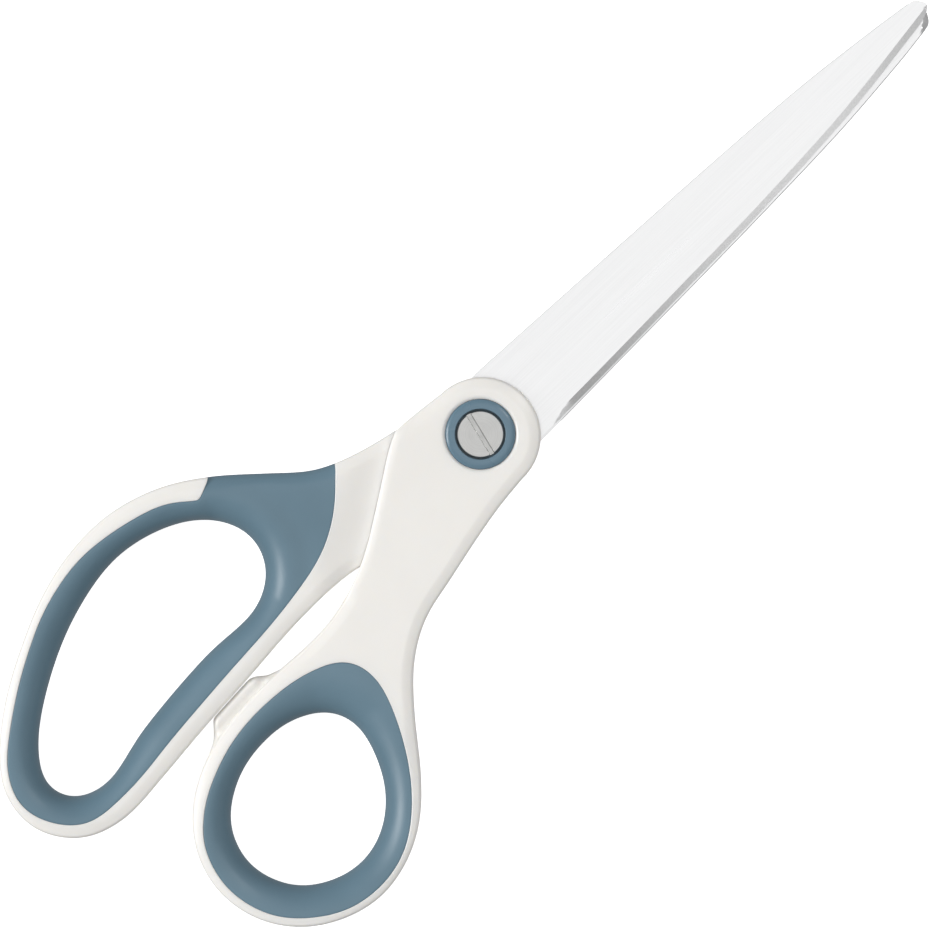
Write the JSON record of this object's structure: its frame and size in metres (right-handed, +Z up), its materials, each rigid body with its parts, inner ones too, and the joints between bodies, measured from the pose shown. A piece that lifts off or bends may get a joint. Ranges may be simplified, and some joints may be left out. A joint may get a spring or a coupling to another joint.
{
  "type": "office scissors",
  "caption": "Straight office scissors with moulded handles, soft finger and thumb loops, tapered ground blades and a slotted pivot screw.",
  "frame": {"origin": "on the pivot axis, on the plane the closed scissors lie on", "axes": "+Y along the blades towards the tips, +Z up out of the front half (the one with the thumb loop), +X to the right seen from above"},
  "size_m": [0.0785, 0.2049, 0.0103],
  "materials": {
    "blade_steel": "fine lengthwise brushed grain, ground edge",
    "white_plastic": "satin moulded",
    "grip_rubber": "soft touch, matt",
    "collar_plastic": "smooth moulded",
    "screw_steel": "turned, satin",
    "washer_plastic": "plain"
  },
  "bodies": {
    "finger_half": {"rear_blade": "blade_steel", "finger_handle": "white_plastic", "finger_grip": "grip_rubber", "rear_collar": "collar_plastic", "pivot_nut": "screw_steel", "blade_washer": "washer_plastic"},
    "thumb_half": {"front_blade": "blade_steel", "thumb_handle": "white_plastic", "thumb_grip": "grip_rubber", "front_collar": "collar_plastic"},
    "tension_screw": {"pivot_screw": "screw_steel", "spring_washer": "screw_steel"}
  },
  "joints": [
    {"name": "blade_pivot", "type": "hinge", "parent": "finger_half", "child": "thumb_half", "pos_m": [0, 0, 0.005], "axis": [0, 0, 1], "range_deg": [0, 90]},
    {"name": "tension_adjust", "type": "hinge", "parent": "finger_half", "child": "tension_screw", "pos_m": [0, 0, 0.009], "axis": [0, 0, 1], "range_deg": [-45, 90]}
  ]
}
